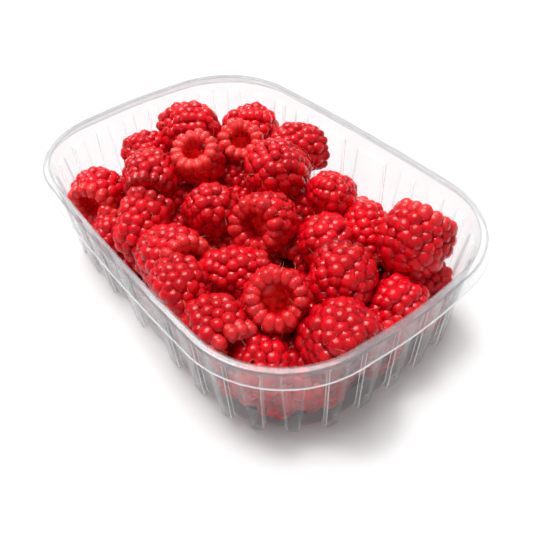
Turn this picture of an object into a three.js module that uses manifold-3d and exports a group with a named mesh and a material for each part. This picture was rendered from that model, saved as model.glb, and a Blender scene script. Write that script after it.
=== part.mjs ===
import * as THREE from 'three';
import Module from 'manifold-3d';
import { mergeVertices } from 'three/addons/utils/BufferGeometryUtils.js';

// A clear ribbed punnet filled with raspberries, in millimetres, standing on z = 0

// Driving dimensions of the punnet
const rimLength = 175;
const rimWidth = 120;
const rimHeight = 44;
const cornerRadius = 38.5;
const sideBow = 1.2;
const sheet = 0.6;
const flangeWidth = 3;
const skirtDrop = 5.2;
const skirtFlare = 1.9;
const collarDrop = 6.2;
const ledgeWidth = 1.3;
const wallTaper = 1.8;
const ribFootHeight = 1.6;
const wallFootHeight = 4.6;
const wallFootTuck = 1.7;
const footInset = 9.6;
const cornerTuck = 1.6;
const ribSlope = 0.65;
const ribWidthTop = 8.2;
const ribWidthFoot = 5.4;

// Driving dimensions of the heap
const gap = 0.45;
const coreInset = 17;
const coreTop = 21.5;
const berrySides = 8;
const floorBerryWidth = 20.4;
const floorBerryLength = 23;
const floorBerries = 20;
const innerBerryPitch = 21;
const innerBerryZ = 14.8;

// Where the ribs stand, as distances round a quarter of the rim from the middle of a short side
const straightShort = rimWidth / 2 - cornerRadius;
const straightLong = rimLength / 2 - cornerRadius;
const cornerArc = (cornerRadius * Math.PI) / 2;
const quarter = straightShort + cornerArc + straightLong;
const ribCentres = [0, 13.8, 28.6, 45, 60.2, 74.6, 90.4, 106.2, quarter];

// A point of the rim's outline, moved inwards by an inset that grows by a tuck at the corners
function quarterPoint(distance, inset, tuck) {
  const arc = distance - straightShort;
  if (arc <= 0) {
    const bow = sideBow * (1 - (distance / straightShort) ** 2);
    return [rimLength / 2 + bow - inset, distance];
  }
  if (arc >= cornerArc) {
    const along = quarter - distance;
    const bow = sideBow * (1 - (along / straightLong) ** 2);
    return [along, rimWidth / 2 + bow - inset];
  }
  const angle = arc / cornerRadius;
  const reach = cornerRadius - inset - tuck * Math.sin(2 * angle) ** 2;
  return [straightLong + reach * Math.cos(angle), straightShort + reach * Math.sin(angle)];
}

// The stations of a quarter: each rib has two edges, and each edge a slope from wall to rib
function quarterStations() {
  const stations = [];
  ribCentres.forEach((centre, index) => {
    if (index > 0) {
      stations.push({ centre, side: -1, slope: 1, out: false });
      stations.push({ centre, side: -1, slope: -1, out: true });
    }
    if (index < ribCentres.length - 1) {
      stations.push({ centre, side: 1, slope: -1, out: true });
      stations.push({ centre, side: 1, slope: 1, out: false });
    }
  });
  return stations;
}

// The same stations all the way round, mirrored from quarter to quarter
function ringStations() {
  const one = quarterStations();
  const back = [...one].reverse();
  const ring = [];
  one.forEach((s) => ring.push({ ...s, mx: 1, my: 1 }));
  back.forEach((s) => ring.push({ ...s, mx: -1, my: 1 }));
  one.forEach((s) => ring.push({ ...s, mx: -1, my: -1 }));
  back.forEach((s) => ring.push({ ...s, mx: 1, my: -1 }));
  return ring;
}
const stations = ringStations();

// Where a row of the sheet meets a station
function stationPoint(station, row) {
  const half = row.ribWidth / 2 + station.slope * ribSlope;
  const distance = station.centre + station.side * half;
  const [inset, z] = station.out ? row.rib : row.wall;
  const [x, y] = quarterPoint(distance, inset, row.tuck);
  return [station.mx * x, station.my * y, z];
}

// A row with its inset and height on the ribs and between them
function row(rib, wall, depth = 0) {
  const ribWidth = THREE.MathUtils.lerp(ribWidthTop, ribWidthFoot, depth);
  return { rib, wall, tuck: cornerTuck * depth, ribWidth };
}

// A row without ribs
function plainRow(inset, z, depth = 0) {
  return row([inset, z], [inset, z], depth);
}

// A closed solid: a lathe of the rows from axis to axis, drawn out to the rounded outline
function ringSolid(rows, lowZ, highZ) {
  const profile = [new THREE.Vector2(0, lowZ)];
  rows.forEach((r) => profile.push(new THREE.Vector2(rimWidth / 2 - r.wall[0], r.wall[1])));
  profile.push(new THREE.Vector2(0, highZ));
  const count = profile.length;
  const geometry = new THREE.LatheGeometry(profile, stations.length);
  const position = geometry.getAttribute('position');
  for (let i = 0; i < position.count; i += 1) {
    const level = i % count;
    const station = stations[Math.floor(i / count) % stations.length];
    const onAxis = level === 0 || level === count - 1;
    const [x, y, z] = onAxis ? [0, 0, profile[level].y] : stationPoint(station, rows[level - 1]);
    position.setXYZ(i, x, y, z);
  }
  return geometry;
}

// Closed solids with merged corners and faces outwards
const wasm = await Module();
wasm.setup();

function signedVolume(points, corners) {
  let total = 0;
  const at = (k) => [points[3 * k], points[3 * k + 1], points[3 * k + 2]];
  for (let i = 0; i < corners.length; i += 3) {
    const [a, b, c] = [at(corners[i]), at(corners[i + 1]), at(corners[i + 2])];
    total += a[0] * (b[1] * c[2] - b[2] * c[1]);
    total += a[1] * (b[2] * c[0] - b[0] * c[2]);
    total += a[2] * (b[0] * c[1] - b[1] * c[0]);
  }
  return total / 6;
}

function closedSolid(geometry) {
  const bare = geometry.clone();
  bare.deleteAttribute('uv');
  bare.deleteAttribute('normal');
  const merged = mergeVertices(bare, 1e-4);
  const points = Float32Array.from(merged.getAttribute('position').array);
  const corners = [];
  const index = merged.getIndex().array;
  for (let i = 0; i < index.length; i += 3) {
    const [a, b, c] = [index[i], index[i + 1], index[i + 2]];
    if (a !== b && b !== c && a !== c) {
      corners.push(a, b, c);
    }
  }
  if (signedVolume(points, corners) < 0) {
    for (let i = 0; i < corners.length; i += 3) {
      [corners[i + 1], corners[i + 2]] = [corners[i + 2], corners[i + 1]];
    }
  }
  const mesh = new wasm.Mesh({ numProp: 3, vertProperties: points, triVerts: Uint32Array.from(corners) });
  return new wasm.Manifold(mesh);
}

// The outer shell of a joined solid, without sealed hollows and loose scraps
function outerShell(solid) {
  const mesh = solid.getMesh();
  const parent = Array.from({ length: mesh.vertProperties.length / mesh.numProp }, (_, i) => i);
  const root = (i) => {
    let k = i;
    while (parent[k] !== k) {
      parent[k] = parent[parent[k]];
      k = parent[k];
    }
    return k;
  };
  const corners = mesh.triVerts;
  for (let i = 0; i < corners.length; i += 3) {
    parent[root(corners[i])] = root(corners[i + 1]);
    parent[root(corners[i + 1])] = root(corners[i + 2]);
  }
  const shells = new Map();
  for (let i = 0; i < corners.length; i += 3) {
    const key = root(corners[i]);
    const shell = shells.get(key) ?? [];
    shell.push(corners[i], corners[i + 1], corners[i + 2]);
    shells.set(key, shell);
  }
  const volume = (shell) => signedVolume(mesh.vertProperties, shell);
  const largest = [...shells.values()].sort((a, b) => volume(b) - volume(a))[0];
  const geometry = new THREE.BufferGeometry();
  const places = Float32Array.from(mesh.vertProperties);
  geometry.setAttribute('position', new THREE.BufferAttribute(places, 3));
  geometry.setIndex(largest);
  return geometry;
}

// Punnet: the cavity's side of the sheet from the floor out to the skirt, then the underside back
const rimZ = rimHeight;
const skirtZ = rimZ - skirtDrop;
const collarZ = rimZ - collarDrop;
const ribTop = flangeWidth + 0.6;
const wallTop = ribTop + ledgeWidth;
const ribFoot = ribTop + wallTaper;
const wallFoot = ribFoot + wallFootTuck;
const cavityRows = [
  plainRow(footInset, sheet, 1),
  row([ribFoot + 1.1, sheet + 0.25], [wallFoot + 0.85, sheet + 1], 1),
  row([ribFoot, ribFootHeight], [wallFoot, wallFootHeight], 1),
  row([ribTop, collarZ - 0.8], [wallTop, collarZ - 0.8], 0.05),
  plainRow(flangeWidth + 0.5, collarZ),
  plainRow(flangeWidth, rimZ),
  plainRow(0.5, rimZ),
  plainRow(-0.1, rimZ - 0.7),
  plainRow(-skirtFlare, skirtZ),
];
const underRows = [
  plainRow(sheet - skirtFlare, skirtZ),
  plainRow(sheet + 0.1, rimZ - sheet - 0.4),
  plainRow(flangeWidth - sheet, rimZ - sheet - 0.2),
  plainRow(flangeWidth + 0.5 - sheet, collarZ - 0.3),
  row([ribTop - sheet, collarZ - 0.8 - sheet], [wallTop - sheet, collarZ - 0.8 - sheet], 0.05),
  row([ribFoot - sheet, ribFootHeight - 0.35], [wallFoot - sheet, wallFootHeight - 0.1], 1),
  row([ribFoot + 0.9, 0.25], [wallFoot + 0.35, sheet + 0.6], 1),
  plainRow(footInset - 0.3, 0, 1),
];
const punnet = closedSolid(ringSolid([...cavityRows, ...underRows], sheet, 0));

// The room for the fruit: the cavity's surface, drawn in by the gap and open far above the rim
const room = closedSolid(ringSolid([
  plainRow(footInset, sheet + gap, 1),
  plainRow(wallFoot + 0.85 + gap, sheet + 1 + gap, 1),
  plainRow(wallFoot + gap, wallFootHeight + gap, 1),
  plainRow(wallTop + gap, collarZ - 0.8, 0.05),
  plainRow(flangeWidth + 0.6 + gap, collarZ + gap),
  plainRow(flangeWidth + 0.6 + gap, rimZ + 30),
], sheet + gap, rimZ + 30));

// A raspberry with few sides, its tip down and its mouth up, hollow where the mouth shows
function berrySolid(width, length, open) {
  const radius = width / 2;
  const outside = [[0, -0.5], [0.56, -0.43], [0.91, -0.2], [1, 0.08], [0.88, 0.34]];
  const mouth = open ? [[0.66, 0.48], [0.42, 0.4], [0.26, 0], [0, -0.06]] : [[0.58, 0.49], [0, 0.5]];
  const profile = [...outside, ...mouth].map(([r, y]) => new THREE.Vector2(r * radius, y * length));
  return new THREE.LatheGeometry(profile, berrySides);
}

// Turns a berry so that its mouth faces a heading and a rise, both in degrees, and sets it down
function placed(geometry, [x, y, z], heading, rise) {
  const yaw = THREE.MathUtils.degToRad(heading);
  const pitch = THREE.MathUtils.degToRad(rise);
  const aim = new THREE.Vector3(
    Math.cos(pitch) * Math.cos(yaw),
    Math.cos(pitch) * Math.sin(yaw),
    Math.sin(pitch),
  );
  const turn = new THREE.Quaternion().setFromUnitVectors(new THREE.Vector3(0, 1, 0), aim);
  const matrix = new THREE.Matrix4().compose(new THREE.Vector3(x, y, z), turn, new THREE.Vector3(1, 1, 1));
  return geometry.applyMatrix4(matrix);
}

// The berries on top, as laid out by eye: centre, width, length, heading and rise of the mouth
const topBerries = [
  { at: [-73.5, -7.5, 24], width: 20.5, length: 22, heading: 100, rise: -30, open: false },
  { at: [-65.5, 16, 31], width: 26, length: 29, heading: 200, rise: -20, open: false },
  { at: [-51.5, 41.5, 27], width: 25, length: 26, heading: 190, rise: -30, open: false },
  { at: [-35.5, 22.5, 33], width: 20, length: 20, heading: -31, rise: 58, open: true },
  { at: [-36.5, 1, 34], width: 22, length: 22, heading: -57, rise: 68, open: true },
  { at: [-21.5, 43.5, 30], width: 22.5, length: 26, heading: 70, rise: -10, open: false },
  { at: [-7.5, 21, 35], width: 26.5, length: 28, heading: 150, rise: -40, open: false },
  { at: [-43.5, -19.5, 33], width: 23, length: 22, heading: -39, rise: -15, open: true },
  { at: [-55.5, -39.5, 26], width: 22.5, length: 22, heading: -50, rise: 2, open: true },
  { at: [17.5, 30, 33], width: 19.5, length: 20, heading: 160, rise: -35, open: false },
  { at: [-8.5, -12, 31], width: 22.5, length: 25, heading: 170, rise: -50, open: false },
  { at: [12.5, 0.5, 32], width: 24.5, length: 25, heading: -70, rise: 25, open: true },
  { at: [-19.5, -38.5, 30], width: 20, length: 27, heading: 121, rise: 31, open: false },
  { at: [-33.5, -46.5, 20], width: 18, length: 22, heading: 120, rise: 30, open: false },
  { at: [-35, -13.5, 18], width: 18, length: 20, heading: 10, rise: -60, open: false },
  { at: [-29, 14, 22], width: 17, length: 19, heading: 60, rise: 10, open: false },
  { at: [1, -38, 28], width: 26.5, length: 26, heading: 4, rise: 14, open: true },
  { at: [20, -46, 31], width: 22, length: 25, heading: -36, rise: -40, open: false },
  { at: [24, -25.5, 29], width: 21, length: 25, heading: 54, rise: -10, open: false },
  { at: [48, -24.5, 34], width: 23.5, length: 21, heading: -36, rise: 49, open: true },
  { at: [41.5, -45, 30], width: 22, length: 24, heading: -3, rise: -7, open: true },
  { at: [60, -40, 21.5], width: 22, length: 26, heading: -36, rise: -40, open: false },
  { at: [70.5, -16.5, 29], width: 26.5, length: 25, heading: -6, rise: -9, open: true },
  { at: [54, 0.5, 31], width: 23.5, length: 22, heading: 133, rise: 12, open: false },
  { at: [34, 11, 30], width: 19.5, length: 22, heading: 120, rise: -30, open: false },
  { at: [8.5, 24, 21], width: 16, length: 18, heading: 20, rise: -20, open: false },
  { at: [17, 37, 17], width: 18, length: 22, heading: 50, rise: 0, open: false },
  { at: [39, 28.5, 27], width: 20.5, length: 26, heading: -36, rise: -45, open: false },
  { at: [61, 31, 37.5], width: 27.5, length: 24, heading: 120, rise: 60, open: false },
  { at: [62.5, 31, 15], width: 21, length: 25, heading: 60, rise: 0, open: false },
  { at: [70.5, 12.5, 23], width: 21, length: 23, heading: -75, rise: -35, open: false },
  { at: [15, 10.5, 15], width: 18, length: 20, heading: 0, rise: 0, open: false },
];

// The berries on the floor that show through the wall stand in a ring just inside it
function floorRing() {
  const ring = [];
  for (let i = 0; i < floorBerries; i += 1) {
    const turn = (i / floorBerries) * 4;
    const side = Math.floor(turn);
    const part = turn - side;
    const distance = side % 2 === 0 ? part * quarter : (1 - part) * quarter;
    const inset = ribFoot + ledgeWidth + floorBerryWidth / 2 + 0.5 + (i % 3) * 0.6;
    const [x, y] = quarterPoint(distance, inset, cornerTuck);
    const mx = side === 1 || side === 2 ? -1 : 1;
    const my = side >= 2 ? -1 : 1;
    const width = floorBerryWidth - (i % 4) * 0.7;
    const z = sheet + gap + width / 2 + 0.1;
    ring.push({ at: [mx * x, my * y, z], width, length: floorBerryLength - (i % 3), turn: i });
  }
  return ring;
}

// The berries of the floor layer that show in the gaps stand in staggered rows over the core
function innerRows() {
  const rows = [];
  for (let j = -1; j <= 2; j += 1) {
    for (let i = -3; i <= 3; i += 1) {
      const x = (i + (j % 2 === 0 ? 0 : 0.5)) * innerBerryPitch - 5;
      const y = (j - 0.5) * innerBerryPitch * 0.9;
      const inside = Math.abs(x) < rimLength / 2 - coreInset;
      const free = topBerries.every(({ at }) => at[2] > 24 || Math.hypot(at[0] - x, at[1] - y) > 10);
      if (inside && free) {
        const z = innerBerryZ + (((i + 3) * 5 + (j + 1) * 3) % 4) * 0.5;
        const width = 20 + ((i + j + 4) % 3);
        rows.push({ at: [x, y, z], width, length: floorBerryLength, turn: 3 * i + j });
      }
    }
  }
  return rows;
}

// Heap: a flat core on the floor with the berries that show fused on
function heapCore() {
  const halfLength = rimLength / 2 - coreInset;
  const halfWidth = rimWidth / 2 - coreInset;
  const corner = cornerRadius - coreInset;
  const shape = new THREE.Shape();
  shape.absarc(halfLength - corner, halfWidth - corner, corner, 0, Math.PI / 2);
  shape.absarc(corner - halfLength, halfWidth - corner, corner, Math.PI / 2, Math.PI);
  shape.absarc(corner - halfLength, corner - halfWidth, corner, Math.PI, 1.5 * Math.PI);
  shape.absarc(halfLength - corner, corner - halfWidth, corner, 1.5 * Math.PI, 2 * Math.PI);
  const depth = coreTop - sheet - gap;
  const geometry = new THREE.ExtrudeGeometry(shape, { depth, bevelEnabled: false, curveSegments: 5 });
  return geometry.translate(0, 0, sheet + gap);
}

let heap = closedSolid(heapCore());
topBerries.forEach((berry) => {
  const shape = berrySolid(berry.width, berry.length, berry.open);
  heap = heap.add(closedSolid(placed(shape, berry.at, berry.heading, berry.rise)));
});
[...floorRing(), ...innerRows()].forEach((berry) => {
  const shape = berrySolid(berry.width, berry.length, false);
  heap = heap.add(closedSolid(placed(shape, berry.at, berry.turn * 67, 8)));
});
heap = heap.intersect(room);

// Nodes
function named(name, geometry, settings) {
  geometry.computeVertexNormals();
  const mesh = new THREE.Mesh(geometry, new THREE.MeshStandardMaterial(settings));
  mesh.name = name;
  return mesh;
}

const group = new THREE.Group();
group.add(named('punnet', outerShell(punnet), { color: 0xe4e8ea, roughness: 0.12, metalness: 0 }));
group.add(named('raspberries', outerShell(heap), { color: 0xc4142e, roughness: 0.35, metalness: 0 }));

export default group;
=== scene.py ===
import bpy
import bmesh
import math
import random
from mathutils import Euler, Matrix, Vector, noise


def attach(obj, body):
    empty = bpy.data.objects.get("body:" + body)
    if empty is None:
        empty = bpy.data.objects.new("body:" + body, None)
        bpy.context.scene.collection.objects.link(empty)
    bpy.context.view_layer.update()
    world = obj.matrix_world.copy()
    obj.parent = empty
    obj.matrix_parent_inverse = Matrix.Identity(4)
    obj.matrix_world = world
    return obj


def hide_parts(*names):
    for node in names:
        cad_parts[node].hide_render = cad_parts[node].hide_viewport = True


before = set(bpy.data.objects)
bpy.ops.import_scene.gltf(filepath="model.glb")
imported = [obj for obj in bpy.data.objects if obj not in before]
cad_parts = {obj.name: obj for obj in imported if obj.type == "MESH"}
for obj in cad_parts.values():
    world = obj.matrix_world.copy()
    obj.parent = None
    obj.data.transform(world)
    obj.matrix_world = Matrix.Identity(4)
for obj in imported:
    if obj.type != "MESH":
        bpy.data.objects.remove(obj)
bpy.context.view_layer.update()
mm = 0.001
anyTurn = 6.28  # random angles are drawn up to this


# turns a finished bmesh into a smooth object with one material
def finishPiece(name, bm, material):
    mesh = bpy.data.meshes.new(name)
    bm.to_mesh(mesh)
    bm.free()
    for face in mesh.polygons:
        face.use_smooth = True
    mesh.materials.append(material)
    piece = bpy.data.objects.new(name, mesh)
    bpy.context.scene.collection.objects.link(piece)
    return piece


def newMaterial(name):
    material = bpy.data.materials.new(name)
    material.use_nodes = True
    nodes = material.node_tree.nodes
    nodes.clear()
    return material, nodes, material.node_tree.links


# gives a socket either a plain value or a link from another node
def feed(links, socket, source):
    if isinstance(source, bpy.types.NodeSocket):
        links.new(source, socket)
    else:
        socket.default_value = source


def readAttribute(nodes, name):
    reader = nodes.new("ShaderNodeAttribute")
    reader.attribute_name = name
    return reader.outputs["Fac"]


def addMath(nodes, links, operation, sources, clamp=False):
    step = nodes.new("ShaderNodeMath")
    step.operation = operation
    step.use_clamp = clamp
    for index, source in enumerate(sources):
        feed(links, step.inputs[index], source)
    return step.outputs["Value"]


def addRange(nodes, links, source, start, end):
    spread = nodes.new("ShaderNodeMapRange")
    links.new(source, spread.inputs["Value"])
    for name, value in zip(("From Min", "From Max", "To Min", "To Max"), (*start, *end)):
        spread.inputs[name].default_value = value
    return spread.outputs["Result"]


def addMix(nodes, links, factor, low, high):
    blend = nodes.new("ShaderNodeMix")
    blend.data_type = "RGBA"
    feed(links, blend.inputs["Factor"], factor)
    feed(links, blend.inputs["A"], low)
    feed(links, blend.inputs["B"], high)
    return blend.outputs["Result"]


def addMixShader(nodes, links, factor, low, high):
    blend = nodes.new("ShaderNodeMixShader")
    links.new(factor, blend.inputs["Fac"])
    links.new(low, blend.inputs[1])
    links.new(high, blend.inputs[2])
    return blend.outputs["Shader"]


def addShader(nodes, links, finish):
    shader = nodes.new("ShaderNodeBsdfPrincipled")
    for name, source in finish.items():
        feed(links, shader.inputs[name], source)
    return shader.outputs["BSDF"]


def addOutput(nodes, links, surface):
    output = nodes.new("ShaderNodeOutputMaterial")
    links.new(surface, output.inputs["Surface"])


# the picture
shot = {"heading": 53.7, "rise": 44.67, "roll": -2.92, "distance": 260.3, "focus": (5.7, 3.5, 0.0),
        "imageSide": 533, "focalPixels": 593.5, "sensorWidth": 36, "clipStart": 0.01}


def addCamera():
    heading = math.radians(shot["heading"])
    rise = math.radians(shot["rise"])
    level = math.cos(rise)
    back = Vector((math.sin(heading) * level, -math.cos(heading) * level, math.sin(rise)))
    data = bpy.data.cameras.new("photoCamera")
    data.sensor_width = shot["sensorWidth"]
    data.lens = shot["focalPixels"] / shot["imageSide"] * shot["sensorWidth"]
    data.clip_start = shot["clipStart"]
    camera = bpy.data.objects.new("photoCamera", data)
    camera.location = (Vector(shot["focus"]) + back * shot["distance"]) * mm
    roll = Matrix.Rotation(math.radians(shot["roll"]), 3, "Z")
    camera.rotation_euler = (back.to_track_quat("Z", "Y").to_matrix() @ roll).to_euler()
    bpy.context.scene.collection.objects.link(camera)
    bpy.context.scene.camera = camera


studio = {"skyStrength": 0.38, "softboxStrength": 7.6, "softboxEdge": (0.9, 0.95),
          "softboxHeading": (-0.34, 0.05, 0.94), "sunStrength": 0.75, "sunSpread": 12,
          "sunHeading": (-0.42, 0.04, 0.91), "floorSide": 4.0}
paperFinish = {"Base Color": (0.8, 0.8, 0.8, 1), "Roughness": 0.9, "Specular IOR Level": 0.1}


# an even dome with one large round soft light behind and above the punnet
def addSky():
    world = bpy.data.worlds.new("softWhite")
    world.use_nodes = True
    nodes = world.node_tree.nodes
    links = world.node_tree.links
    place = nodes.new("ShaderNodeTexCoord")
    aim = nodes.new("ShaderNodeVectorMath")
    aim.operation = "DOT_PRODUCT"
    aim.inputs[1].default_value = Vector(studio["softboxHeading"]).normalized()
    links.new(place.outputs["Generated"], aim.inputs[0])
    softbox = addRange(nodes, links, aim.outputs["Value"], studio["softboxEdge"], (0, 1))
    softbox.node.interpolation_type = "SMOOTHSTEP"
    levels = (softbox, studio["softboxStrength"], studio["skyStrength"])
    links.new(addMath(nodes, links, "MULTIPLY_ADD", levels), nodes["Background"].inputs["Strength"])
    nodes["Background"].inputs["Color"].default_value = (1, 1, 1, 1)
    bpy.context.scene.world = world


def addStudio():
    addSky()
    bpy.context.scene.view_settings.view_transform = "Standard"
    sun = bpy.data.lights.new("sun", "SUN")
    sun.energy = studio["sunStrength"]
    sun.angle = math.radians(studio["sunSpread"])
    lamp = bpy.data.objects.new("sun", sun)
    lamp.rotation_euler = Vector(studio["sunHeading"]).to_track_quat("Z", "Y").to_euler()
    bpy.context.scene.collection.objects.link(lamp)
    material, nodes, links = newMaterial("palePaper")
    addOutput(nodes, links, addShader(nodes, links, paperFinish))
    bm = bmesh.new()
    bmesh.ops.create_grid(bm, x_segments=2, y_segments=2, size=studio["floorSide"] / 2)
    floor = finishPiece("floor", bm, material)


# the clear punnet, in mm: an inset is measured inwards from the rim's outline
punnetSizes = {"rimLength": 175, "rimWidth": 120, "rimHeight": 44, "cornerRadius": 38.5, "sideBow": 1.2,
               "sheet": 0.5, "baseHeight": 0.6, "flangeWidth": 3, "skirtDrop": 5.2, "skirtFlare": 1.9,
               "collarDrop": 6.2, "ledgeDrop": 1.2, "ledgeWidth": 1.3, "wallTaper": 1.8, "ribGap": 0.6,
               "ribFootHeight": 1.6, "wallFootHeight": 4.6, "wallFootTuck": 1.7, "footInset": 9.6,
               "footLean": 0.1, "footSteps": 6, "footCrease": 0.4, "cornerTuck": 1.6,
               "ribWidthTop": 8.2, "ribWidthFoot": 5.4, "baseInsets": (28, 14)}
# across the edge of a rib: how far out of its side, how much of the way from wall to rib, and how strong a
# painted highlight line its crease carries
ribEdge = [(-0.7, 0.0, 0), (-0.44, 0.06, 0), (-0.3, 0.13, 1), (-0.16, 0.26, 0.1), (0.16, 0.74, 0.1),
           (0.3, 0.87, 0.7), (0.44, 0.94, 0), (0.7, 1.0, 0)]
straightShort = punnetSizes["rimWidth"] / 2 - punnetSizes["cornerRadius"]
straightLong = punnetSizes["rimLength"] / 2 - punnetSizes["cornerRadius"]
cornerArc = punnetSizes["cornerRadius"] * math.pi / 2
quarter = straightShort + cornerArc + straightLong
ribCentres = [0, 13.8, 28.6, 45, 60.2, 74.6, 90.4, 106.2, quarter]
ribStandsOut = 0.3  # a row with ribs shallower than this has no painted highlight lines
ribTop = punnetSizes["flangeWidth"] + punnetSizes["ribGap"]
ribFoot = ribTop + punnetSizes["wallTaper"]
wallTop = ribTop + punnetSizes["ledgeWidth"]
wallFoot = ribFoot + punnetSizes["wallFootTuck"]
collarHeight = punnetSizes["rimHeight"] - punnetSizes["collarDrop"]
wallTopHeight = collarHeight - punnetSizes["ledgeDrop"]


# a point on the first quarter of the rim, moved inwards by an inset that grows by a tuck at the corner
def quarterPoint(distance, inset, tuck):
    arc = distance - straightShort
    if arc <= 0:
        bow = punnetSizes["sideBow"] * (1 - (distance / straightShort) ** 2)
        return punnetSizes["rimLength"] / 2 + bow - inset, distance
    if arc >= cornerArc:
        along = quarter - distance
        bow = punnetSizes["sideBow"] * (1 - (along / straightLong) ** 2)
        return along, punnetSizes["rimWidth"] / 2 + bow - inset
    angle = arc / punnetSizes["cornerRadius"]
    reach = punnetSizes["cornerRadius"] - inset - tuck * math.sin(2 * angle) ** 2
    return straightLong + reach * math.cos(angle), straightShort + reach * math.sin(angle)


# where the sheet is sampled round a quarter: a soft S from wall to rib at every rib edge
def quarterStations():
    found = []
    for index, centre in enumerate(ribCentres):
        if index > 0:
            found += [(centre, -1, -offset, blend, crease) for offset, blend, crease in ribEdge]
        found.append((centre, 0, 0, 1.0, 0))
        if index < len(ribCentres) - 1:
            found += [(centre, 1, -offset, blend, crease) for offset, blend, crease in reversed(ribEdge)]
            found.append(((centre + ribCentres[index + 1]) / 2, 0, 0, 0.0, 0))
    return found


# one row of the sheet, all the way round: each place, how creased it is, which sets a painted highlight line,
# and how thick its edge looks
def rowPlaces(rib, wall, depth=0.0, rowCrease=0.0, edge=0.0):
    ribInset, ribHeight = rib
    wallInset, wallHeight = wall
    widthTop = punnetSizes["ribWidthTop"]
    ribWidth = widthTop + (punnetSizes["ribWidthFoot"] - widthTop) * depth
    tuck = punnetSizes["cornerTuck"] * depth
    ribbed = wallInset - ribInset > ribStandsOut
    first = []
    for centre, side, offset, blend, crease in quarterStations():
        inset = wallInset + (ribInset - wallInset) * blend
        x, y = quarterPoint(centre + side * (ribWidth / 2 + offset), inset, tuck)
        z = wallHeight + (ribHeight - wallHeight) * blend
        first.append((x, y, z, max(rowCrease, crease if ribbed else 0)))
    half = first + [(-x, y, z, crease) for x, y, z, crease in reversed(first[:-1])]
    whole = half + [(-x, -y, z, crease) for x, y, z, crease in half[1:-1]]
    return [(Vector((x, y, z)) * mm, crease, edge) for x, y, z, crease in whole]


# a curve that leaves the wall downwards and meets the flat base
def curvedFoot(inset, height):
    start = Vector((inset, height))
    bend = Vector((inset + punnetSizes["footLean"] * height, punnetSizes["baseHeight"]))
    end = Vector((punnetSizes["footInset"], punnetSizes["baseHeight"]))
    parts = [step / punnetSizes["footSteps"] for step in range(punnetSizes["footSteps"] + 1)]
    return [tuple(start * (1 - t) ** 2 + bend * 2 * t * (1 - t) + end * t * t) for t in parts]


# the rows from the middle of the base out to the skirt, each with its inset and height on rib and on wall
def punnetRows():
    rimHeight = punnetSizes["rimHeight"]
    flange = punnetSizes["flangeWidth"]
    flare = punnetSizes["skirtFlare"]
    ribLow = punnetSizes["ribFootHeight"]
    wallLow = punnetSizes["wallFootHeight"]
    base = [(inset, punnetSizes["baseHeight"]) for inset in punnetSizes["baseInsets"]]
    rows = [(point, point, 1) for point in base]
    feet = list(zip(curvedFoot(ribFoot, ribLow), curvedFoot(wallFoot, wallLow)))
    for index, (rib, wall) in enumerate(reversed(feet)):
        # the row halfway down the foot carries a painted highlight line
        halfway = index == len(feet) // 2
        rows.append((rib, wall, 1, punnetSizes["footCrease"] if halfway else 0))
    for part in (0.25, 0.5, 0.75, 1.0):
        rib = (ribFoot + (ribTop - ribFoot) * part, ribLow + (wallTopHeight - ribLow) * part)
        wall = (wallFoot + (wallTop - wallFoot) * part, wallLow + (wallTopHeight - wallLow) * part)
        rows.append((rib, wall, 1 - part))
    # the ledge where the ribs end, as rib inset, wall inset and height
    ledge = [(ribTop - 0.03, wallTop - 0.25, wallTopHeight + 0.4),
             (flange + 0.54, flange + 1.1, collarHeight - 0.45),
             (flange + 0.5, flange + 0.62, collarHeight - 0.1)]
    rows += [((ribInset, height), (wallInset, height)) for ribInset, wallInset, height in ledge]
    # collar, flange and skirt, as inset, drop below the rim and how thick the edge looks, a fifth of which is
    # also a faint painted highlight line
    ring = [(flange + 0.45, punnetSizes["collarDrop"] - 0.5, 0), (flange + 0.05, 0.8, 0),
            (flange - 0.1, 0.25, 0.6), (flange - 0.4, 0, 0.7), (flange - 0.8, 0, 0), (0.9, 0, 0),
            (0.4, 0.1, 0.5), (0.08, 0.4, 0.95), (-0.1, 0.8, 0.5), (-0.4, 2.0, 0), (-0.5 * flare, 3.0, 0),
            (0.2 - flare, punnetSizes["skirtDrop"] - 0.5, 0)]
    for inset, drop, edge in ring:
        point = (inset, rimHeight - drop)
        rows.append((point, point, 0, edge * 0.2, edge))
    # the lower edge of the skirt carries a painted highlight line and a darker edge
    low = (-flare, rimHeight - punnetSizes["skirtDrop"])
    rows.append((low, low, 0, 0.8, 0.8))
    return rows


# clear from the front, greyer and more of a mirror at a slant, with a faint haze everywhere and painted
# highlight lines of white glowing haze along its creases
plasticLook = {"tint": [(0.0, (0.9, 0.9, 0.904, 1)), (0.8, (0.89, 0.89, 0.894, 1)),
                        (0.94, (0.78, 0.78, 0.784, 1)), (1.0, (0.45, 0.46, 0.47, 1))],
               "edgeTint": (0.42, 0.43, 0.44, 1), "edgePower": 2, "hazeAndPaintedHighlight": (0.024, 0.55),
               "mirror": (0.028, 0.85), "mirrorPower": 5, "mirrorColor": (0.95, 0.96, 0.97, 1),
               "mirrorRoughness": 0.06, "shadowTint": (0.975, 0.975, 0.975, 1)}
# the haze glows faintly with painted light, on top of what the lamps give it
hazeWithPaintedGlow = {"Base Color": (0.85, 0.86, 0.87, 1), "Roughness": 0.35, "Emission Color": (1, 1, 1, 1),
              "Emission Strength": 0.28}


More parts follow.
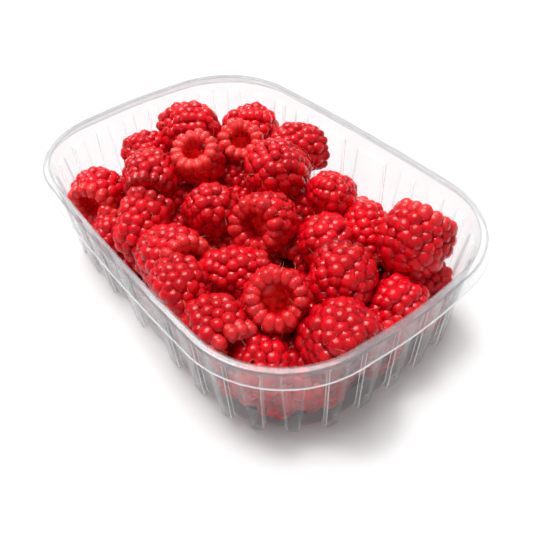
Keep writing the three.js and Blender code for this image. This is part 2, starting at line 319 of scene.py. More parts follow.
def clearPlastic():
    material, nodes, links = newMaterial("clearPlastic")
    facing = nodes.new("ShaderNodeLayerWeight")
    facing.inputs["Blend"].default_value = 0.5
    slant = facing.outputs["Facing"]
    tint = nodes.new("ShaderNodeValToRGB")
    stops = tint.color_ramp.elements
    stops.remove(stops[1])
    stops[0].color = plasticLook["tint"][0][1]
    for position, color in plasticLook["tint"][1:]:
        stops.new(position).color = color
    links.new(slant, tint.inputs["Fac"])
    thick = addMath(nodes, links, "POWER", (readAttribute(nodes, "edge"), plasticLook["edgePower"]))
    clear = nodes.new("ShaderNodeBsdfTransparent")
    clearTint = addMix(nodes, links, thick, tint.outputs["Color"], plasticLook["edgeTint"])
    links.new(clearTint, clear.inputs["Color"])
    hazeAndPaintedHighlight = addRange(nodes, links, readAttribute(nodes, "crease"), (0, 1), plasticLook["hazeAndPaintedHighlight"])
    paintedGlowHaze = addShader(nodes, links, hazeWithPaintedGlow)
    hazedWithPaintedHighlight = addMixShader(nodes, links, hazeAndPaintedHighlight, clear.outputs["BSDF"], paintedGlowHaze)
    steep = addMath(nodes, links, "POWER", (slant, plasticLook["mirrorPower"]))
    mirror = addRange(nodes, links, steep, (0, 1), plasticLook["mirror"])
    gloss = nodes.new("ShaderNodeBsdfGlossy")
    gloss.inputs["Roughness"].default_value = plasticLook["mirrorRoughness"]
    gloss.inputs["Color"].default_value = plasticLook["mirrorColor"]
    glossy = addMixShader(nodes, links, mirror, hazedWithPaintedHighlight, gloss.outputs["BSDF"])
    path = nodes.new("ShaderNodeLightPath")
    lit = nodes.new("ShaderNodeBsdfTransparent")
    lit.inputs["Color"].default_value = plasticLook["shadowTint"]
    sheet = addMixShader(nodes, links, path.outputs["Is Shadow Ray"], glossy, lit.outputs["BSDF"])
    addOutput(nodes, links, sheet)
    return material


# draws a sheet through the rows, from a closed middle outwards, and returns its last edges
def drawRings(bm, rows):
    creaseLayer = bm.verts.layers.float.new("crease")
    edgeLayer = bm.verts.layers.float.new("edge")
    loop = [bm.verts.new(place) for place, crease, edge in rowPlaces(*rows[0])]
    edges = [bm.edges.new((loop[i], loop[(i + 1) % len(loop)])) for i in range(len(loop))]
    middle = bmesh.ops.edgeloop_fill(bm, edges=edges)["faces"]
    bmesh.ops.poke(bm, faces=middle)
    for row in rows[1:]:
        grown = bmesh.ops.extrude_edge_only(bm, edges=edges)["geom"]
        edges = [item for item in grown if isinstance(item, bmesh.types.BMEdge)]
        fresh = set(item for item in grown if isinstance(item, bmesh.types.BMVert))
        loop = [next(edge.other_vert(vert) for edge in vert.link_edges if edge.other_vert(vert) in fresh)
                for vert in loop]
        for vert, (place, crease, edge) in zip(loop, rowPlaces(*row)):
            vert.co = place
            vert[creaseLayer] = crease
            vert[edgeLayer] = edge
    return [edge for edge in edges if edge.is_boundary]


def buildPunnet():
    bm = bmesh.new()
    drawRings(bm, punnetRows())
    bmesh.ops.recalc_face_normals(bm, faces=bm.faces)
    floorFace = min(bm.faces, key=lambda face: face.calc_center_median().length)
    if floorFace.normal.z < 0:
        bmesh.ops.reverse_faces(bm, faces=bm.faces)
    punnet = finishPiece("clearPunnet", bm, clearPlastic())
    wall = punnet.modifiers.new("sheet", "SOLIDIFY")
    wall.thickness = punnetSizes["sheet"] * mm
    wall.offset = -1
    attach(punnet, "root")
    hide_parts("punnet")
    print("punnet ready")


# the raspberries of the upper layer: x, y, z, width, length, heading and rise of the mouth
topBerries = [(-73.5, -7.5, 24, 20.5, 22, 100, -30), (-65.5, 16, 31, 26, 29, 200, -20),
              (-51.5, 41.5, 27, 25, 26, 190, -30), (-35.5, 22.5, 33, 20, 20, -31, 58),
              (-36.5, 1, 34, 22, 22, -57, 68), (-21.5, 43.5, 30, 22.5, 26, 70, -10),
              (-7.5, 21, 35, 26.5, 28, 150, -40), (-43.5, -19.5, 33, 23, 22, -39, -15),
              (-55.5, -39.5, 26, 22.5, 22, -50, 2), (17.5, 30, 33, 19.5, 20, 160, -35),
              (-8.5, -12, 31, 22.5, 25, 170, -50), (12.5, 0.5, 32, 24.5, 25, -70, 25),
              (-19.5, -38.5, 30, 20, 27, 121, 31), (-33.5, -46.5, 20, 18, 22, 120, 30),
              (-35, -13.5, 18, 18, 20, 10, -60), (-29, 14, 22, 17, 19, 60, 10),
              (1, -38, 28, 26.5, 26, 4, 14), (20, -46, 31, 22, 25, -36, -40),
              (24, -25.5, 29, 21, 25, 54, -10), (48, -24.5, 34, 23.5, 21, -36, 49),
              (41.5, -45, 30, 22, 24, -3, -7), (60, -40, 21.5, 22, 26, -36, -40),
              (70.5, -16.5, 29, 26.5, 25, -6, -9), (54, 0.5, 31, 23.5, 22, 133, 12),
              (34, 11, 30, 19.5, 22, 120, -30), (8.5, 24, 21, 16, 18, 20, -20),
              (17, 37, 17, 18, 22, 50, 0), (39, 28.5, 27, 20.5, 26, -36, -45),
              (60, 29.5, 36.5, 26, 25.5, 103, 40), (62.5, 31, 15, 21, 25, 60, 0),
              (70.5, 12.5, 23, 21, 23, -75, -35), (15, 10.5, 15, 18, 20, 0, 0)]
backCount = 16  # this many of them make up the back piece
paleMouths = {3: 0.8, 4: 0.85, 8: 0.5, 16: 0.45, 19: 0.25, 20: 0.35, 26: 0.8, 28: 0.5}
floorLayer = {"count": 20, "width": 20.4, "widthStep": 0.7, "length": 23, "wallGap": 0.5, "insetStep": 0.6,
              "ground": 1.15, "turnStep": 67, "rise": 8}
innerLayer = {"pitch": 21, "rowSqueeze": 0.9, "shift": -5, "wallMargin": 17, "width": 20, "length": 23,
              "height": 14.8, "heightStep": 0.5, "turnStep": 67, "rise": 8, "deepBelow": 24, "clearance": 10}


# a ring of berries on the floor, along the wall
def floorRing():
    found = []
    for index in range(floorLayer["count"]):
        turn = index / floorLayer["count"] * 4
        side = int(turn)
        part = turn - side
        distance = part * quarter if side % 2 == 0 else (1 - part) * quarter
        inset = ribFoot + punnetSizes["ledgeWidth"] + floorLayer["width"] / 2 + floorLayer["wallGap"]
        x, y = quarterPoint(distance, inset + index % 3 * floorLayer["insetStep"], punnetSizes["cornerTuck"])
        x = -x if side in (1, 2) else x
        y = -y if side >= 2 else y
        width = floorLayer["width"] - index % 4 * floorLayer["widthStep"]
        found.append((x, y, floorLayer["ground"] + width / 2, width, floorLayer["length"] - index % 3,
                      index * floorLayer["turnStep"], floorLayer["rise"]))
    return found


# rows of berries inside that ring, except where a deep one of the upper layer lies
def innerRows():
    found = []
    deep = [berry for berry in topBerries if berry[2] <= innerLayer["deepBelow"]]
    for j in range(-1, 3):
        for i in range(-3, 4):
            x = (i + (0 if j % 2 == 0 else 0.5)) * innerLayer["pitch"] + innerLayer["shift"]
            y = (j - 0.5) * innerLayer["pitch"] * innerLayer["rowSqueeze"]
            inside = abs(x) < punnetSizes["rimLength"] / 2 - innerLayer["wallMargin"]
            free = all(math.hypot(b[0] - x, b[1] - y) > innerLayer["clearance"] for b in deep)
            if inside and free:
                z = innerLayer["height"] + ((i + 3) * 5 + (j + 1) * 3) % 4 * innerLayer["heightStep"]
                found.append((x, y, z, innerLayer["width"] + (i + j + 4) % 3, innerLayer["length"],
                              (3 * i + j) * innerLayer["turnStep"], innerLayer["rise"]))
    return found


# a berry's outline from tip to mouth, as parts of its half width and of its length
berryOutline = [(0, -0.5), (0.34, -0.475), (0.62, -0.4), (0.86, -0.24), (0.98, -0.04), (1, 0.12),
                (0.96, 0.27), (0.86, 0.4), (0.72, 0.46), (0.59, 0.42), (0.5, 0.3), (0.45, 0.16)]
outlineSteps = 8


# a smooth curve through the outline's points, as finely spaced pairs of radius and height
def smoothOutline(width, length):
    points = [Vector((r * width / 2, z * length)) for r, z in berryOutline]
    points = [Vector((-points[1].x, points[1].y))] + points + [points[-1] * 2 - points[-2]]
    found = []
    for k in range(1, len(points) - 2):
        a, b, c, d = points[k - 1:k + 3]
        for step in range(outlineSteps):
            t = step / outlineSteps
            found.append(0.5 * ((2 * b) + (c - a) * t + (2 * a - 5 * b + 4 * c - d) * t * t
                                + (3 * b - a - 3 * c + d) * t ** 3))
    found.append(points[-2])
    return found


def aimMatrix(heading, rise):
    yaw = math.radians(heading)
    pitch = math.radians(rise)
    aim = Vector((math.cos(pitch) * math.cos(yaw), math.cos(pitch) * math.sin(yaw), math.sin(pitch)))
    return Vector((0, 0, 1)).rotation_difference(aim).to_matrix()


freeHeight = 40  # above this nothing touches the wall


# presses a place inwards and upwards until a drupelet of that reach clears wall and base
def pressedIn(place, reach):
    if place.z > freeHeight:
        return place
    side = Vector((abs(place.x) - straightLong, abs(place.y) - straightShort))
    if side.x > 0 and side.y > 0:
        outwards = side.normalized()
        depth = punnetSizes["cornerRadius"] - side.length
    else:
        outwards = Vector((1, 0)) if side.x > side.y else Vector((0, 1))
        depth = punnetSizes["cornerRadius"] - max(side.x, side.y)
    wallLow = punnetSizes["wallFootHeight"]
    rise = min(1.0, max(0.0, (place.z - wallLow) / (wallTopHeight - wallLow)))
    tuck = punnetSizes["cornerTuck"] / 2 * (1 - rise)
    wallInset = wallFoot - rise * (wallFoot - wallTop) + tuck
    missing = max(0.0, wallInset + reach - depth)
    shift = Vector((math.copysign(outwards.x, place.x), math.copysign(outwards.y, place.y), 0)) * missing
    lift = max(0.0, punnetSizes["baseHeight"] + punnetSizes["sheet"] + reach - place.z)
    return place - shift + Vector((0, 0, lift))


# pairs are the least and most of a random draw, and lengths inside a berry are parts of a drupelet's size
berryLook = {"seed": 7, "drupelet": 4.6, "smallest": 0.93, "growth": 0.14, "growthFrom": 16, "growthOver": 11,
             "sizeSpread": (0.95, 1.05), "squash": (0.94, 1.06), "paleness": (0.05, 0.3), "tone": (-0.3, 0.3),
             "ripeness": (-0.22, 0.22), "paintedLightSlope": 0.003, "rowStep": 0.8, "crestGap": 0.6,
             "bulge": 0.66, "sink": 0.52, "lipSink": 0.34, "phase": 0.5, "phaseSpread": (-0.1, 0.1),
             "jitter": (-0.08, 0.08), "widening": 0.7, "wave": 0.12, "lipWave": 0.3, "waveScale": 1.1,
             "waveStep": 0.1, "waveShift": (0, 50)}
# what differs between the drupelets of the rows and the folds of the lip
rowLook = {"inside": 0.3, "spacing": 0.97, "turn": (-0.12, 0.12), "swell": (0.82, 1.2), "shape": (1.0, 1.0)}
foldLook = {"inside": 0.2, "spacing": 0.86, "turn": (-0.15, 0.15), "swell": (0.84, 1.14),
            "shape": (0.86, 0.82)}
# the rows of the lip: how far past its crest, how long, and how near the mouth
lipRows = [(-0.5, 0.95, 0.6), (-0.1, 1.0, 0.95), (0.3, 1.0, 1.0), (0.7, 0.92, 0.75), (1.1, 0.8, 0.45),
           (1.6, 0.7, 0.2)]


# every row of drupelets along an outline: how far along, how deep, how long, and how near the mouth
def drupeletRows(walked, outline, size):
    crest = walked[max(range(len(outline)), key=lambda k: outline[k].y)]
    last = crest - berryLook["crestGap"] * size
    count = round(last / (size * berryLook["rowStep"]))
    rows = [(last * k / count, berryLook["sink"], 1.0, 0.0) for k in range(count)]
    for offset, longer, mouth in lipRows:
        along = min(crest + offset * size, walked[-1])
        rows.append((along, berryLook["lipSink"], longer, mouth))
    return rows


# how the drupelets of a row are spread round the berry: each one's turn and how far it swells
def spreadRound(radius, size, phase, look, draw):
    girth = 2 * math.pi * max(radius - look["inside"] * size, 0)
    count = max(1, round(girth / (look["spacing"] * size)))
    return [(k + phase + draw.uniform(*look["turn"]), draw.uniform(*look["swell"])) for k in range(count)]


# all drupelets of one berry: where, turned how, how large, how ripe, and how pale
def berryDrupelets(berry, paleness, draw):
    x, y, z, width, length, heading, rise = berry
    outline = smoothOutline(width, length)
    turn = aimMatrix(heading, rise) @ Matrix.Rotation(draw.uniform(0, anyTurn), 3, "Z")
    middle = Vector((x, y, z))
    growth = berryLook["growth"] * (width - berryLook["growthFrom"]) / berryLook["growthOver"]
    size = berryLook["drupelet"] * (berryLook["smallest"] + growth) * draw.uniform(*berryLook["sizeSpread"])
    squash = draw.uniform(*berryLook["squash"])
    waveShift = draw.uniform(*berryLook["waveShift"])
    # a random ripeness, plus painted light that makes berries lighter towards the back and darker towards the
    # front
    ripeness = draw.uniform(*berryLook["ripeness"]) + berryLook["paintedLightSlope"] * (y - x)
    walked = [0.0]
    for a, b in zip(outline, outline[1:]):
        walked.append(walked[-1] + (b - a).length)
    found = []
    phase = 0.0
    inLip = False
    for target, sink, longer, mouth in drupeletRows(walked, outline, size):
        span = max(k for k in range(len(walked) - 1) if walked[k] <= target + 1e-9)
        stretch = (target - walked[span]) / max(walked[span + 1] - walked[span], 1e-9)
        point = outline[span].lerp(outline[span + 1], stretch)
        along = (outline[span + 1] - outline[span]).normalized()
        outwards = Vector((along.y, -along.x))
        phase += berryLook["phase"] + draw.uniform(*berryLook["phaseSpread"])
        look = foldLook if mouth else rowLook
        # the rows of the lip share the spokes of the first, so that they join into folds that curl inwards
        if not inLip:
            spokes = spreadRound(point.x, size, phase, look, draw)
        inLip = mouth > 0
        for step, swell in spokes:
            angle = step / len(spokes) * 2 * math.pi
            spoke = Vector((math.cos(angle), math.sin(angle), 0))
            waved = spoke * berryLook["waveScale"] + Vector((waveShift, 0, 0))
            waved.z = 2 if mouth else target * berryLook["waveStep"]
            wave = noise.noise(waved)
            radius = (point.x - outwards.x * size * sink) * (1 + berryLook["wave"] * wave)
            nearLip = max(0.0, point.y / length) * 2
            jitter = 0 if mouth else draw.uniform(*berryLook["jitter"])
            uneven = jitter + berryLook["lipWave"] * wave * nearLip
            height = point.y - outwards.y * size * sink + uneven * size
            place = spoke * (0 if len(spokes) == 1 else radius) * squash + Vector((0, 0, height))
            normal = (spoke * outwards.x + Vector((0, 0, outwards.y))).normalized()
            sideways = Vector((-spoke.y, spoke.x, 0))
            facing = Matrix((sideways, normal.cross(sideways), normal)).transposed()
            grown = size * berryLook["bulge"] * swell
            broad, thick = look["shape"]
            wider = 1 + jitter * berryLook["widening"]
            scale = Vector((grown * broad * wider, grown * longer, grown * thick))
            tone = max(0.0, min(1.0, 0.5 + ripeness + draw.uniform(*berryLook["tone"])))
            spot = pressedIn(middle + turn @ place, grown)
            found.append((spot, (turn @ facing).to_euler(), scale, tone, mouth * paleness))
    return found


# a drupelet with few faces, one unit in radius, with its poles at the ends of its long axis
def drupeletTemplate(name, segments, rings, material):
    bm = bmesh.new()
    bm.loops.layers.uv.new("strand")
    crownLayer = bm.verts.layers.float.new("crown")
    lay = Matrix.Rotation(math.pi / 2, 4, "X")
    bmesh.ops.create_uvsphere(bm, u_segments=segments, v_segments=rings, radius=1, matrix=lay, calc_uvs=True)
    # the crown says how far a point stands out of the berry, so that the valleys between drupelets get
    # painted shade
    for vert in bm.verts:
        vert[crownLayer] = max(0.0, vert.co.z)
    return finishPiece(name, bm, material)


def scatterTree(template):
    tree = bpy.data.node_groups.new("scatterDrupelets", "GeometryNodeTree")
    tree.interface.new_socket("Geometry", in_out="INPUT", socket_type="NodeSocketGeometry")
    tree.interface.new_socket("Geometry", in_out="OUTPUT", socket_type="NodeSocketGeometry")
    inside = tree.nodes.new("NodeGroupInput")
    outside = tree.nodes.new("NodeGroupOutput")
    source = tree.nodes.new("GeometryNodeObjectInfo")
    source.inputs["Object"].default_value = template
    spread = tree.nodes.new("GeometryNodeInstanceOnPoints")
    settle = tree.nodes.new("GeometryNodeRealizeInstances")
    euler = tree.nodes.new("FunctionNodeEulerToRotation")
    for name, target in (("turn", euler.inputs["Euler"]), ("stretch", spread.inputs["Scale"])):
        reader = tree.nodes.new("GeometryNodeInputNamedAttribute")
        reader.data_type = "FLOAT_VECTOR"
        reader.inputs["Name"].default_value = name
        tree.links.new(reader.outputs["Attribute"], target)
    tree.links.new(euler.outputs["Rotation"], spread.inputs["Rotation"])
    tree.links.new(inside.outputs["Geometry"], spread.inputs["Points"])
    tree.links.new(source.outputs["Geometry"], spread.inputs["Instance"])
    tree.links.new(spread.outputs["Instances"], settle.inputs["Geometry"])
    tree.links.new(settle.outputs["Geometry"], outside.inputs["Geometry"])
    return tree


def keepAsFruit(piece):
    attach(piece, "root")
    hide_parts("raspberries")
    print(piece.name, "ready:", len(piece.data.polygons), "faces")


# joins one template, set at every place of a list, into one mesh
def scatterPiece(name, places, template, material):
    bm = bmesh.new()
    turnLayer = bm.verts.layers.float_vector.new("turn")
    stretchLayer = bm.verts.layers.float_vector.new("stretch")
    toneLayer = bm.verts.layers.float.new("tone")
    mouthLayer = bm.verts.layers.float.new("mouth")
    for place, turn, scale, tone, mouth in places:
        vert = bm.verts.new(place * mm)
        vert[turnLayer] = Vector(turn)
        vert[stretchLayer] = scale * mm
        vert[toneLayer] = tone
        vert[mouthLayer] = mouth
    cloud = finishPiece(name + "Places", bm, material)
    cloud.modifiers.new("scatter", "NODES").node_group = scatterTree(template)
    depsgraph = bpy.context.evaluated_depsgraph_get()
    mesh = bpy.data.meshes.new_from_object(cloud.evaluated_get(depsgraph))
    for spare in ("turn", "stretch"):
        if spare in mesh.attributes:
            mesh.attributes.remove(mesh.attributes[spare])
    mesh.materials.clear()
    mesh.materials.append(material)
    bpy.data.objects.remove(cloud)
    piece = bpy.data.objects.new(name, mesh)
    bpy.context.scene.collection.objects.link(piece)
    keepAsFruit(piece)


# a shader group that varies between two colours in soft blotches of the object's own space
def mottleGroup():
    if "softMottle" in bpy.data.node_groups:
        return bpy.data.node_groups["softMottle"]
    tree = bpy.data.node_groups.new("softMottle", "ShaderNodeTree")
    tree.interface.new_socket("Scale", in_out="INPUT", socket_type="NodeSocketFloat")
    tree.interface.new_socket("Dark", in_out="INPUT", socket_type="NodeSocketColor")
    tree.interface.new_socket("Light", in_out="INPUT", socket_type="NodeSocketColor")
    tree.interface.new_socket("Color", in_out="OUTPUT", socket_type="NodeSocketColor")
    inside = tree.nodes.new("NodeGroupInput")
    outside = tree.nodes.new("NodeGroupOutput")
    place = tree.nodes.new("ShaderNodeTexCoord")
    blotch = tree.nodes.new("ShaderNodeTexNoise")
    blotch.inputs["Detail"].default_value = 3
    tree.links.new(place.outputs["Object"], blotch.inputs["Vector"])
    tree.links.new(inside.outputs["Scale"], blotch.inputs["Scale"])
    factor = addRange(tree.nodes, tree.links, blotch.outputs["Fac"], (0.3, 0.7), (0, 1))
    blend = addMix(tree.nodes, tree.links, factor, inside.outputs["Dark"], inside.outputs["Light"])
    tree.links.new(blend, outside.inputs["Color"])
    return tree


def addMottle(nodes, scale, dark, light):
    mottle = nodes.new("ShaderNodeGroup")
    mottle.node_tree = mottleGroup()
    mottle.inputs["Scale"].default_value = scale
    mottle.inputs["Dark"].default_value = (*dark, 1)
    mottle.inputs["Light"].default_value = (*light, 1)
    return mottle.outputs["Color"]


# the skin's colours, each pair from dark to light, a painted shade for the valleys between drupelets, and the
# fine strands of its bump
skinLook = {"mottle": 330, "ripe": ((0.42, 0.0003, 0.004), (0.56, 0.0008, 0.007)),
            "fresh": ((0.76, 0.0015, 0.009), (0.94, 0.003, 0.014)), "paleMouth": (0.95, 0.055, 0.052, 1),
            "paintedValleyShade": (0.26, 0.0003, 0.0015, 1), "crownFull": 0.72, "mouthLift": 3,
            "strands": (22, 2.5, 1), "strandShift": 40, "bump": 0.55, "bumpHeight": 0.25}
skinFinish = {"Roughness": 0.3, "Specular IOR Level": 0.07, "Subsurface Weight": 0.2,
              "Subsurface Radius": (1.0, 0.1, 0.08), "Subsurface Scale": 0.001, "Coat Weight": 0.75,
              "Coat Roughness": 0.05, "Coat IOR": 1.39}


# ripe or fresh red by drupelet, paler at the mouth, and darkened by painted shade in the valleys between
# drupelets
def skinColor(nodes, links, tone):
    mouth = readAttribute(nodes, "mouth")
    ripe = addMottle(nodes, skinLook["mottle"], *skinLook["ripe"])
    fresh = addMottle(nodes, skinLook["mottle"], *skinLook["fresh"])
    skin = addMix(nodes, links, tone, ripe, fresh)
    pale = addMix(nodes, links, mouth, skin, skinLook["paleMouth"])
    crown = addRange(nodes, links, readAttribute(nodes, "crown"), (0, skinLook["crownFull"]), (0, 1))
    lifts = (mouth, skinLook["mouthLift"], crown)
    clearOfPaintedShade = addMath(nodes, links, "MULTIPLY_ADD", lifts, clamp=True)
    return addMix(nodes, links, clearOfPaintedShade, skinLook["paintedValleyShade"], pale)


def skinBump(nodes, links, tone):
    strand = nodes.new("ShaderNodeUVMap")
    strand.uv_map = "strand"
    stretched = nodes.new("ShaderNodeMapping")
    stretched.inputs["Scale"].default_value = skinLook["strands"]
    grain = nodes.new("ShaderNodeTexNoise")
    grain.noise_dimensions = "4D"
    grain.inputs["Scale"].default_value = 1
    grain.inputs["Detail"].default_value = 2
    links.new(strand.outputs["UV"], stretched.inputs["Vector"])
    links.new(stretched.outputs["Vector"], grain.inputs["Vector"])
    links.new(addMath(nodes, links, "MULTIPLY", (tone, skinLook["strandShift"])), grain.inputs["W"])
    bump = nodes.new("ShaderNodeBump")
    bump.inputs["Strength"].default_value = skinLook["bump"]
    bump.inputs["Distance"].default_value = skinLook["bumpHeight"] * mm
    links.new(grain.outputs["Fac"], bump.inputs["Height"])
    return bump.outputs["Normal"]


def raspberrySkin():
    material, nodes, links = newMaterial("raspberrySkin")
    tone = readAttribute(nodes, "tone")
    normal = skinBump(nodes, links, tone)
    varied = {"Base Color": skinColor(nodes, links, tone), "Normal": normal, "Coat Normal": normal}
    addOutput(nodes, links, addShader(nodes, links, {**skinFinish, **varied}))
    return material


innerLook = {"mottle": 520, "dark": (0.36, 0.001, 0.003), "light": (0.92, 0.018, 0.015), "paintedGlow": 0.2,
             "sheen": 0.2}
# near-black flesh for the buried core, as painted shade
paintedShadeLook = {"mottle": 520, "dark": (0.05, 0.0003, 0.0006), "light": (0.14, 0.0008, 0.001), "paintedGlow": 0.0,
              "sheen": 0.0}


# the flesh under the drupelets, with a painted glow, standing in for light let through, where the stalk has
# left it hollow
def fleshMaterial(name, look):
    material, nodes, links = newMaterial(name)
    color = addMottle(nodes, look["mottle"], look["dark"], look["light"])
    paintedGlow = addMath(nodes, links, "MULTIPLY", (readAttribute(nodes, "hollow"), look["paintedGlow"]))
    finish = {"Roughness": 0.35, "Specular IOR Level": look["sheen"], "Base Color": color,
              "Emission Color": color, "Emission Strength": paintedGlow}
    addOutput(nodes, links, addShader(nodes, links, finish))
    return material


# the dry look of hairs and crumbs
def driedSkin(name, look):
    material, nodes, links = newMaterial(name)
    finish = {"Roughness": 0.5, "Base Color": addMottle(nodes, look["mottle"], look["dark"], look["light"])}
    addOutput(nodes, links, addShader(nodes, links, finish))
    return material


# the flesh inside a berry from tip to hollow: radius, height, and how strongly the hollow glows with painted
# light
bodyOutline = [(0, -0.46, 0), (0.45, -0.4, 0), (0.72, -0.22, 0), (0.84, 0.05, 0), (0.8, 0.26, 0),
               (0.7, 0.36, 0), (0.55, 0.33, 0.3), (0.45, 0.15, 1), (0.36, -0.04, 1), (0.2, -0.12, 1),
               (0, -0.14, 1)]
bodyLook = {"steps": 14, "wallReach": 0.8}


def buildBodies(berries, material):
    bm = bmesh.new()
    bm.verts.layers.float.new("hollow")
    for x, y, z, width, length, heading, rise in berries:
        one = bmesh.new()
        hollowLayer = one.verts.layers.float.new("hollow")
        verts = [one.verts.new((r * width / 2, 0, h * length)) for r, h, hollow in bodyOutline]
        for vert, (r, h, hollow) in zip(verts, bodyOutline):
            vert[hollowLayer] = hollow
        edges = [one.edges.new(pair) for pair in zip(verts, verts[1:])]
        bmesh.ops.spin(one, geom=verts + edges, cent=(0, 0, 0), axis=(0, 0, 1), angle=2 * math.pi,
                       steps=bodyLook["steps"], use_merge=True)
        bmesh.ops.remove_doubles(one, verts=one.verts, dist=0.001)
        bmesh.ops.recalc_face_normals(one, faces=one.faces)
        aimed = Matrix.Translation((x, y, z)) @ aimMatrix(heading, rise).to_4x4()
        bmesh.ops.transform(one, matrix=aimed, verts=one.verts)
        for vert in one.verts:
            vert.co = pressedIn(vert.co.copy(), bodyLook["wallReach"])
        bmesh.ops.scale(one, vec=(mm, mm, mm), verts=one.verts)
        scrap = bpy.data.meshes.new("scrap")
        one.to_mesh(scrap)
        one.free()
        bm.from_mesh(scrap)
        bpy.data.meshes.remove(scrap)
    keepAsFruit(finishPiece("berryBodies", bm, material))


# the buried berries that no side shows, as one plain block on the floor coloured near black as painted shade:
# its insets and heights
coreRows = [(13, 1.2), (13, 4), (15, 8), (17, 12), (20, 16), (25, 20)]


def buildCore(material):
    bm = bmesh.new()
    rim = drawRings(bm, [(point, point) for point in coreRows])
    lid = bmesh.ops.edgeloop_fill(bm, edges=rim)["faces"]
    bmesh.ops.poke(bm, faces=lid)
    bmesh.ops.recalc_face_normals(bm, faces=bm.faces)
    keepAsFruit(finishPiece("heapCore", bm, material))


# fine dried hairs that stand in the valleys between drupelets, one for every few of them
hairLook = {"every": 6, "length": 2.8, "lengthSpread": (0.6, 1.4), "thickness": 0.11, "bend": 0.54,
            "sweepTurn": 1.4, "root": (0.7, 0.55), "lean": (0.5, 0.75), "taper": (1.15, 0.7), "steps": 4,
            "mottle": 900, "dark": (0.45, 0.23, 0.08), "light": (0.9, 0.62, 0.3), "seed": 11}


def buildHairs(places):
    draw = random.Random(hairLook["seed"])
    data = bpy.data.curves.new("hairs", "CURVE")
    data.dimensions = "3D"
    data.bevel_depth = hairLook["thickness"] * mm / 2
    data.bevel_resolution = 0
    data.use_fill_caps = True
    for place, turn, scale, tone, mouth in places:
        if draw.random() * hairLook["every"] > 1:
            continue
        facing = Euler(turn).to_matrix()
        spin = draw.uniform(0, anyTurn)
        bent = spin + hairLook["sweepTurn"]
        side = facing @ Vector((math.cos(spin), math.sin(spin), 0))
        outwards = facing @ Vector((0, 0, 1))
        sweep = facing @ Vector((math.cos(bent), math.sin(bent), 0.2)) * hairLook["bend"]
        start = place + (side * hairLook["root"][0] + outwards * hairLook["root"][1]) * scale.z
        lean = side * hairLook["lean"][0] + outwards * hairLook["lean"][1]
        length = hairLook["length"] * draw.uniform(*hairLook["lengthSpread"])
        spline = data.splines.new("POLY")
        spline.points.add(hairLook["steps"])
        for index, point in enumerate(spline.points):
            t = index / hairLook["steps"]
            point.co = (*((start + (lean * t + sweep * t * t) * length) * mm), 1)
            point.radius = hairLook["taper"][0] - hairLook["taper"][1] * t
    strands = bpy.data.objects.new("hairStrands", data)
    bpy.context.scene.collection.objects.link(strands)
    mesh = bpy.data.meshes.new_from_object(strands.evaluated_get(bpy.context.evaluated_depsgraph_get()))
    bpy.data.objects.remove(strands)
    bm = bmesh.new()
    bm.from_mesh(mesh)
    bpy.data.meshes.remove(mesh)
    keepAsFruit(finishPiece("driedHairs", bm, driedSkin("driedHair", hairLook)))


# dried brown crumbs of the flower that cling inside some mouths
crumbLook = {"berries": [3, 4, 8, 19, 26], "each": 5, "size": 0.55, "sizeSpread": (0.7, 1.4),
             "shape": (2.4, 0.9, 0.6), "depth": (0.12, 0.4), "reach": 0.36, "reachSlope": 0.28,
             "mottle": 900, "dark": (0.05, 0.012, 0.004), "light": (0.2, 0.06, 0.02), "seed": 5}


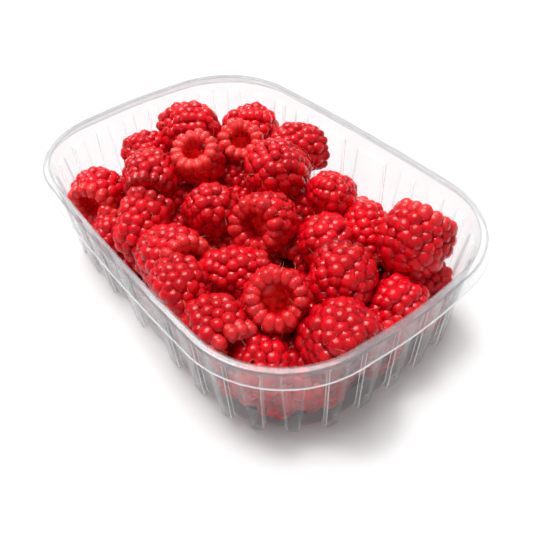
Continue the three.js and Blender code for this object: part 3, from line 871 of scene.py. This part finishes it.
def buildCrumbs():
    draw = random.Random(crumbLook["seed"])
    bm = bmesh.new()
    for index in crumbLook["berries"]:
        x, y, z, width, length, heading, rise = topBerries[index]
        turn = aimMatrix(heading, rise)
        for number in range(crumbLook["each"]):
            angle = draw.uniform(0, anyTurn)
            depth = draw.uniform(*crumbLook["depth"])
            reach = crumbLook["reach"] + crumbLook["reachSlope"] * (depth - crumbLook["depth"][0])
            reach *= width / 2
            spot = turn @ Vector((math.cos(angle) * reach, math.sin(angle) * reach, depth * length))
            grown = crumbLook["size"] * draw.uniform(*crumbLook["sizeSpread"])
            shape = Matrix.Diagonal((*(grown * part for part in crumbLook["shape"]), 1))
            spin = Euler((draw.uniform(0, 3), draw.uniform(0, 3), draw.uniform(0, 3))).to_matrix().to_4x4()
            place = Matrix.Scale(mm, 4) @ Matrix.Translation(Vector((x, y, z)) + spot) @ spin @ shape
            bmesh.ops.create_icosphere(bm, subdivisions=1, radius=1, matrix=place)
    keepAsFruit(finishPiece("driedCrumbs", bm, driedSkin("driedCrumb", crumbLook)))


# single plump drupelets that stand out: x, y, z, radius, and how pale
looseDrupelets = [(18.4, -3.6, 35.6, 2.9, 0.3), (6.2, -34.6, 37, 3.5, 0.6), (46.4, -26.6, 40.6, 3.6, 0.45)]
looseLook = {"turn": (0.4, 0.5, 0), "stretch": 1.15, "tone": 0.6}


def loosePlaces():
    found = []
    for x, y, z, radius, pale in looseDrupelets:
        scale = Vector((radius, radius * looseLook["stretch"], radius))
        found.append((Vector((x, y, z)), Euler(looseLook["turn"]), scale, looseLook["tone"], pale))
    return found


def buildRaspberries():
    skin = raspberrySkin()
    draw = random.Random(berryLook["seed"])
    fine = drupeletTemplate("fineDrupelet", 8, 6, skin)
    coarse = drupeletTemplate("coarseDrupelet", 8, 4, skin)
    ring = floorRing()
    inner = innerRows()
    groups = {"backBerries": (topBerries[:backCount], fine), "frontBerries": (topBerries[backCount:], fine),
              "floorBerries": (ring, coarse), "innerBerries": (inner, coarse)}
    hairy = []
    for name, (berries, template) in groups.items():
        places = []
        for berry in berries:
            paleness = draw.uniform(*berryLook["paleness"])
            if berry in topBerries:
                paleness = paleMouths.get(topBerries.index(berry), paleness)
            places += berryDrupelets(berry, paleness, draw)
        if name == "frontBerries":
            places += loosePlaces()
        scatterPiece(name, places, template, skin)
        if template == fine:
            hairy += places
    bpy.data.objects.remove(fine)
    bpy.data.objects.remove(coarse)
    buildBodies(topBerries + ring + inner, fleshMaterial("innerFlesh", innerLook))
    buildCore(fleshMaterial("paintedShadeFlesh", paintedShadeLook))
    buildHairs(hairy)
    buildCrumbs()


addCamera()
addStudio()
buildPunnet()
buildRaspberries()
